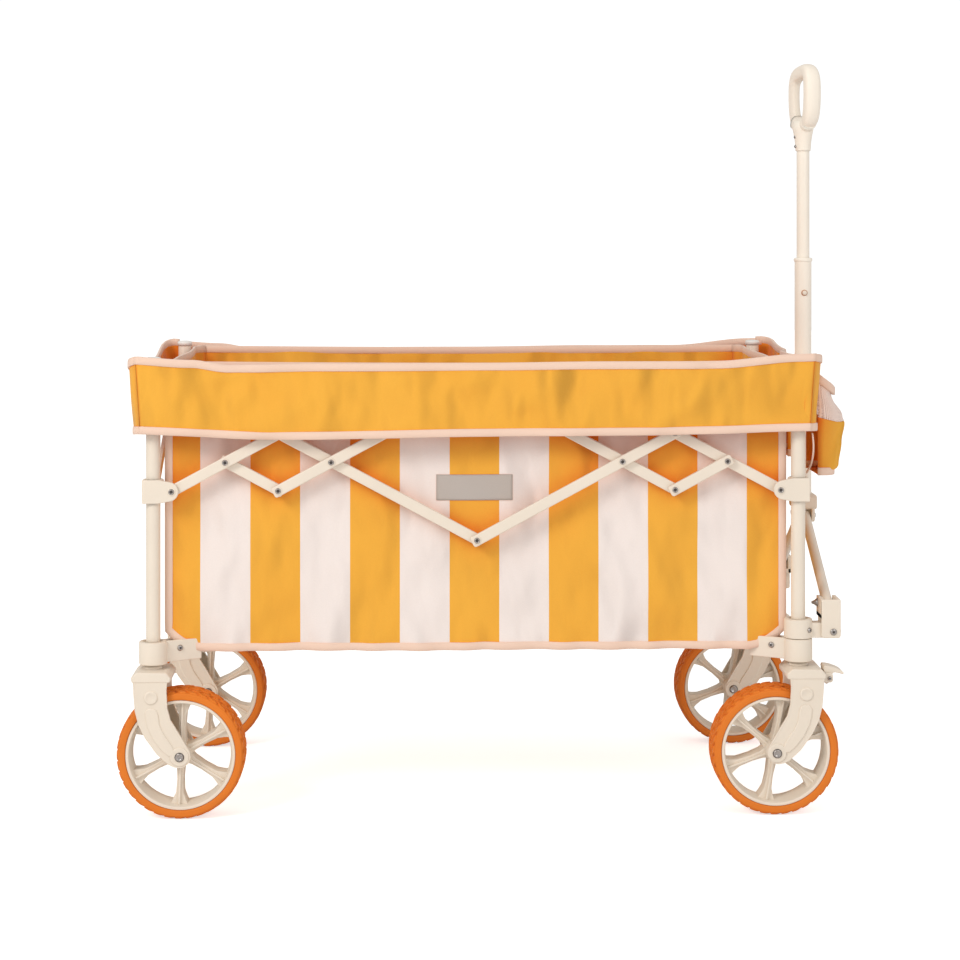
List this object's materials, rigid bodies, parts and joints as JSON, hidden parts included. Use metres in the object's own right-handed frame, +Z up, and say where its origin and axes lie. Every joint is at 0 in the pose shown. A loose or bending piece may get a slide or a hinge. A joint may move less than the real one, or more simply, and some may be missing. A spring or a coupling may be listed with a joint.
{
  "type": "folding wagon",
  "caption": "Folding utility wagon: striped cloth tub on a scissor frame that gathers four ways, swivelling front wheels, tilting telescopic pull handle.",
  "frame": {"origin": "middle of the bounding box, on the ground", "axes": "+X towards the pull handle (front), +Y to the wagon's left, +Z up"},
  "size_m": [1.031, 0.52, 1.061],
  "materials": {
    "painted_steel": "satin cream powder coat",
    "cream_plastic": "satin cream moulded plastic",
    "tyre": "matt orange",
    "striped_cloth": "woven, amber and pale pink stripes",
    "flap_cloth": "woven, with peach binding"
  },
  "bodies": {
    "rear_right": {"post_rear_right": "painted_steel", "corner_bracket_rear_right": "cream_plastic", "scissor_bracket_rear_right": "cream_plastic", "fork_rear_right": "cream_plastic", "cloth_tub": "striped_cloth", "cloth_flap": "flap_cloth"},
    "rear_left": {"post_rear_left": "painted_steel", "corner_bracket_rear_left": "cream_plastic", "scissor_bracket_rear_left": "cream_plastic", "fork_rear_left": "cream_plastic"},
    "front_right": {"post_front_right": "painted_steel", "corner_bracket_front_right": "cream_plastic", "scissor_bracket_front_right": "cream_plastic"},
    "front_left": {"post_front_left": "painted_steel", "corner_bracket_front_left": "cream_plastic", "scissor_bracket_front_left": "cream_plastic"},
    "right_rear_end_bar": {"right_rear_end_bar": "painted_steel"},
    "right_rear_link_bar": {"right_rear_link_bar": "painted_steel"},
    "right_rear_rise_bar": {"right_rear_rise_bar": "painted_steel"},
    "right_rear_fall_bar": {"right_rear_fall_bar": "painted_steel"},
    "right_front_end_bar": {"right_front_end_bar": "painted_steel"},
    "right_front_link_bar": {"right_front_link_bar": "painted_steel"},
    "right_front_rise_bar": {"right_front_rise_bar": "painted_steel"},
    "right_front_fall_bar": {"right_front_fall_bar": "painted_steel"},
    "left_rear_end_bar": {"left_rear_end_bar": "painted_steel"},
    "left_rear_link_bar": {"left_rear_link_bar": "painted_steel"},
    "left_rear_rise_bar": {"left_rear_rise_bar": "painted_steel"},
    "left_rear_fall_bar": {"left_rear_fall_bar": "painted_steel"},
    "left_front_end_bar": {"left_front_end_bar": "painted_steel"},
    "left_front_link_bar": {"left_front_link_bar": "painted_steel"},
    "left_front_rise_bar": {"left_front_rise_bar": "painted_steel"},
    "left_front_fall_bar": {"left_front_fall_bar": "painted_steel"},
    "rear_end_bar_right": {"rear_end_bar_right": "painted_steel"},
    "rear_end_bar_left": {"rear_end_bar_left": "painted_steel"},
    "handle_yoke_right": {"handle_yoke_right": "cream_plastic"},
    "handle_yoke_left": {"handle_yoke_left": "cream_plastic"},
    "handle_frame_tube_right": {"handle_frame_tube_right": "painted_steel"},
    "handle_frame_tube_left": {"handle_frame_tube_left": "painted_steel"},
    "handle_mast": {"handle_top_bracket": "cream_plastic", "handle_outer_tube": "painted_steel"},
    "handle_rod": {"handle_inner_tube": "painted_steel", "handle_grip": "cream_plastic"},
    "handle_button": {"handle_snap_button": "cream_plastic"},
    "floor_bar_rear_right": {"floor_bar_rear_right": "painted_steel"},
    "floor_bar_rear_left": {"floor_bar_rear_left": "painted_steel"},
    "floor_bar_front_right": {"floor_bar_front_right": "painted_steel"},
    "floor_bar_front_left": {"floor_bar_front_left": "painted_steel"},
    "floor_hub": {"floor_hub": "cream_plastic"},
    "wheel_rear_right": {"rim_rear_right": "cream_plastic", "tyre_rear_right": "tyre"},
    "wheel_rear_left": {"rim_rear_left": "cream_plastic", "tyre_rear_left": "tyre"},
    "wheel_front_right": {"rim_front_right": "cream_plastic", "tyre_front_right": "tyre"},
    "caster_front_right": {"fork_front_right": "cream_plastic"},
    "brake_pedal_right": {"brake_pedal_right": "cream_plastic"},
    "wheel_front_left": {"rim_front_left": "cream_plastic", "tyre_front_left": "tyre"},
    "caster_front_left": {"fork_front_left": "cream_plastic"},
    "brake_pedal_left": {"brake_pedal_left": "cream_plastic"}
  },
  "joints": [
    {"name": "fold", "type": "hinge", "parent": "rear_right", "child": "right_rear_end_bar", "pos_m": [-0.44, -0.22, 0.451], "axis": [0, -1, 0], "range_deg": [0, 48.4], "deforming": ["cloth_tub", "cloth_flap"]},
    {"name": "right_rear_fall_hinge", "type": "hinge", "parent": "right_rear_end_bar", "child": "right_rear_fall_bar", "pos_m": [-0.29296, -0.22, 0.53017], "axis": [0, -1, 0], "range_deg": [-97, 0]},
    {"name": "right_front_fall_hinge", "type": "hinge", "parent": "right_rear_fall_bar", "child": "right_front_fall_bar", "pos_m": [-0.0165, -0.22, 0.38131], "axis": [0, -1, 0], "range_deg": [0, 97]},
    {"name": "right_front_end_hinge", "type": "hinge", "parent": "right_front_fall_bar", "child": "right_front_end_bar", "pos_m": [0.25996, -0.22, 0.53017], "axis": [0, -1, 0], "range_deg": [-97, 0]},
    {"name": "front_right_post_hinge", "type": "hinge", "parent": "right_front_end_bar", "child": "front_right", "pos_m": [0.407, -0.22, 0.451], "axis": [0, -1, 0], "range_deg": [0, 48.6]},
    {"name": "right_rear_rise_hinge", "type": "hinge", "parent": "right_rear_fall_bar", "child": "right_rear_rise_bar", "pos_m": [-0.21944, -0.22, 0.49059], "axis": [0, -1, 0], "range_deg": [0, 97]},
    {"name": "right_rear_link_hinge", "type": "hinge", "parent": "right_rear_end_bar", "child": "right_rear_link_bar", "pos_m": [-0.36648, -0.22, 0.49059], "axis": [0, -1, 0], "range_deg": [-97, 0]},
    {"name": "right_front_rise_hinge", "type": "hinge", "parent": "right_front_fall_bar", "child": "right_front_rise_bar", "pos_m": [0.18644, -0.22, 0.49059], "axis": [0, -1, 0], "range_deg": [-97, 0]},
    {"name": "right_front_link_hinge", "type": "hinge", "parent": "right_front_end_bar", "child": "right_front_link_bar", "pos_m": [0.33348, -0.22, 0.49059], "axis": [0, -1, 0], "range_deg": [0, 97]},
    {"name": "left_rear_end_hinge", "type": "hinge", "parent": "rear_left", "child": "left_rear_end_bar", "pos_m": [-0.44, 0.22, 0.451], "axis": [0, -1, 0], "range_deg": [0, 48.6]},
    {"name": "left_rear_fall_hinge", "type": "hinge", "parent": "left_rear_end_bar", "child": "left_rear_fall_bar", "pos_m": [-0.29296, 0.22, 0.53017], "axis": [0, -1, 0], "range_deg": [-97, 0]},
    {"name": "left_front_fall_hinge", "type": "hinge", "parent": "left_rear_fall_bar", "child": "left_front_fall_bar", "pos_m": [-0.0165, 0.22, 0.38131], "axis": [0, -1, 0], "range_deg": [0, 97]},
    {"name": "left_front_end_hinge", "type": "hinge", "parent": "left_front_fall_bar", "child": "left_front_end_bar", "pos_m": [0.25996, 0.22, 0.53017], "axis": [0, -1, 0], "range_deg": [-97, 0]},
    {"name": "front_left_post_hinge", "type": "hinge", "parent": "left_front_end_bar", "child": "front_left", "pos_m": [0.407, 0.22, 0.451], "axis": [0, -1, 0], "range_deg": [0, 48.6]},
    {"name": "left_rear_rise_hinge", "type": "hinge", "parent": "left_rear_fall_bar", "child": "left_rear_rise_bar", "pos_m": [-0.21944, 0.22, 0.49059], "axis": [0, -1, 0], "range_deg": [0, 97]},
    {"name": "left_rear_link_hinge", "type": "hinge", "parent": "left_rear_end_bar", "child": "left_rear_link_bar", "pos_m": [-0.36648, 0.22, 0.49059], "axis": [0, -1, 0], "range_deg": [-97, 0]},
    {"name": "left_front_rise_hinge", "type": "hinge", "parent": "left_front_fall_bar", "child": "left_front_rise_bar", "pos_m": [0.18644, 0.22, 0.49059], "axis": [0, -1, 0], "range_deg": [-97, 0]},
    {"name": "left_front_link_hinge", "type": "hinge", "parent": "left_front_end_bar", "child": "left_front_link_bar", "pos_m": [0.33348, 0.22, 0.49059], "axis": [0, -1, 0], "range_deg": [0, 97]},
    {"name": "rear_end_right_hinge", "type": "hinge", "parent": "rear_right", "child": "rear_end_bar_right", "pos_m": [-0.4655, -0.185, 0.451], "axis": [1, 0, 0], "range_deg": [0, 54.41]},
    {"name": "rear_end_top_hinge", "type": "hinge", "parent": "rear_end_bar_right", "child": "rear_end_bar_left", "pos_m": [-0.4625, 0, 0.55037], "axis": [1, 0, 0], "range_deg": [-108.62, 0]},
    {"name": "rear_left_post_hinge", "type": "hinge", "parent": "rear_end_bar_left", "child": "rear_left", "pos_m": [-0.4595, 0.185, 0.451], "axis": [1, 0, 0], "range_deg": [0, 54.41]},
    {"name": "handle_tilt", "type": "hinge", "parent": "front_right", "child": "handle_yoke_right", "pos_m": [0.4805, -0.22, 0.253], "axis": [0, 1, 0], "range_deg": [0, 75]},
    {"name": "handle_tube_right_hinge", "type": "hinge", "parent": "handle_yoke_right", "child": "handle_frame_tube_right", "pos_m": [0.4775, -0.2025, 0.289], "axis": [1, 0, 0], "range_deg": [0, 54.41]},
    {"name": "handle_mast_hinge", "type": "hinge", "parent": "handle_frame_tube_right", "child": "handle_mast", "pos_m": [0.4775, -0.0175, 0.38837], "axis": [1, 0, 0], "range_deg": [-54.41, 0]},
    {"name": "handle_tube_left_hinge", "type": "hinge", "parent": "handle_mast", "child": "handle_frame_tube_left", "pos_m": [0.4775, 0.0175, 0.38837], "axis": [1, 0, 0], "range_deg": [-54.41, 0]},
    {"name": "handle_yoke_left_hinge", "type": "hinge", "parent": "front_left", "child": "handle_yoke_left", "pos_m": [0.4805, 0.22, 0.253], "axis": [0, 1, 0], "range_deg": [0, 75.2]},
    {"name": "handle_slide", "type": "slide", "parent": "handle_mast", "child": "handle_rod", "axis": [0, 0, -1], "range_m": [0, 0.155]},
    {"name": "button_press", "type": "slide", "parent": "handle_mast", "child": "handle_button", "axis": [0, 1, 0], "range_m": [0, 0.0015], "stiffness_N_per_m": 300},
    {"name": "floor_rear_right_hinge", "type": "hinge", "parent": "rear_right", "child": "floor_bar_rear_right", "pos_m": [-0.4126, -0.19365, 0.229], "axis": [0.4392, -0.8984, 0], "range_deg": [0, 89.2]},
    {"name": "floor_rear_left_hinge", "type": "hinge", "parent": "rear_left", "child": "floor_bar_rear_left", "pos_m": [-0.4126, 0.19365, 0.229], "axis": [-0.4392, -0.8984, 0], "range_deg": [0, 89.2]},
    {"name": "floor_front_right_hinge", "type": "hinge", "parent": "front_right", "child": "floor_bar_front_right", "pos_m": [0.3796, -0.19365, 0.229], "axis": [0.4392, 0.8984, 0], "range_deg": [0, 89.2]},
    {"name": "floor_front_left_hinge", "type": "hinge", "parent": "front_left", "child": "floor_bar_front_left", "pos_m": [0.3796, 0.19365, 0.229], "axis": [-0.4392, 0.8984, 0], "range_deg": [0, 89.2]},
    {"name": "floor_hub_lift", "type": "slide", "parent": "rear_right", "child": "floor_hub", "axis": [-0.7271, -0.3658, 0.581], "range_m": [0, 0.4323]},
    {"name": "wheel_spin_rear_right", "type": "hinge", "parent": "rear_right", "child": "wheel_rear_right", "pos_m": [-0.4265, -0.22, 0.089], "axis": [0, 1, 0], "continuous": true},
    {"name": "wheel_spin_rear_left", "type": "hinge", "parent": "rear_left", "child": "wheel_rear_left", "pos_m": [-0.4265, 0.22, 0.089], "axis": [0, 1, 0], "continuous": true},
    {"name": "caster_swivel_front_right", "type": "hinge", "parent": "front_right", "child": "caster_front_right", "pos_m": [0.4335, -0.22, 0.208], "axis": [0, 0, 1], "continuous": true},
    {"name": "brake_pedal_right_hinge", "type": "hinge", "parent": "caster_front_right", "child": "brake_pedal_right", "pos_m": [0.4745, -0.22, 0.189], "axis": [0, 1, 0], "range_deg": [0, 20]},
    {"name": "wheel_spin_front_right", "type": "hinge", "parent": "caster_front_right", "child": "wheel_front_right", "pos_m": [0.3985, -0.22, 0.089], "axis": [0, 1, 0], "continuous": true},
    {"name": "caster_swivel_front_left", "type": "hinge", "parent": "front_left", "child": "caster_front_left", "pos_m": [0.4335, 0.22, 0.208], "axis": [0, 0, 1], "continuous": true},
    {"name": "brake_pedal_left_hinge", "type": "hinge", "parent": "caster_front_left", "child": "brake_pedal_left", "pos_m": [0.4745, 0.22, 0.189], "axis": [0, 1, 0], "range_deg": [0, 20]},
    {"name": "wheel_spin_front_left", "type": "hinge", "parent": "caster_front_left", "child": "wheel_front_left", "pos_m": [0.3985, 0.22, 0.089], "axis": [0, 1, 0], "continuous": true}
  ],
  "couplings": [
    {"joint": "right_rear_fall_hinge", "follows": "fold", "ratio": -2},
    {"joint": "right_front_fall_hinge", "follows": "fold", "ratio": 2},
    {"joint": "right_front_end_hinge", "follows": "fold", "ratio": -2},
    {"joint": "front_right_post_hinge", "follows": "fold", "ratio": 1},
    {"joint": "right_rear_rise_hinge", "follows": "fold", "ratio": 2},
    {"joint": "right_rear_link_hinge", "follows": "fold", "ratio": -2},
    {"joint": "right_front_rise_hinge", "follows": "fold", "ratio": -2},
    {"joint": "right_front_link_hinge", "follows": "fold", "ratio": 2},
    {"joint": "left_rear_end_hinge", "follows": "fold", "ratio": 1},
    {"joint": "left_rear_fall_hinge", "follows": "fold", "ratio": -2},
    {"joint": "left_front_fall_hinge", "follows": "fold", "ratio": 2},
    {"joint": "left_front_end_hinge", "follows": "fold", "ratio": -2},
    {"joint": "front_left_post_hinge", "follows": "fold", "ratio": 1},
    {"joint": "left_rear_rise_hinge", "follows": "fold", "ratio": 2},
    {"joint": "left_rear_link_hinge", "follows": "fold", "ratio": -2},
    {"joint": "left_front_rise_hinge", "follows": "fold", "ratio": -2},
    {"joint": "left_front_link_hinge", "follows": "fold", "ratio": 2},
    {"joint": "rear_end_right_hinge", "follows": "fold", "ratio": 1.12},
    {"joint": "rear_end_top_hinge", "follows": "fold", "ratio": -2.24},
    {"joint": "rear_left_post_hinge", "follows": "fold", "ratio": 1.12},
    {"joint": "handle_tube_right_hinge", "follows": "fold", "ratio": 1.12},
    {"joint": "handle_mast_hinge", "follows": "fold", "ratio": -1.12},
    {"joint": "handle_tube_left_hinge", "follows": "fold", "ratio": -1.12},
    {"joint": "handle_yoke_left_hinge", "follows": "handle_tilt", "ratio": 1},
    {"joint": "floor_rear_right_hinge", "follows": "fold", "ratio": 1.8388},
    {"joint": "floor_rear_left_hinge", "follows": "fold", "ratio": 1.8388},
    {"joint": "floor_front_right_hinge", "follows": "fold", "ratio": 1.8388},
    {"joint": "floor_front_left_hinge", "follows": "fold", "ratio": 1.8388},
    {"joint": "floor_hub_lift", "follows": "fold", "m_per_rad": 0.50938}
  ]
}
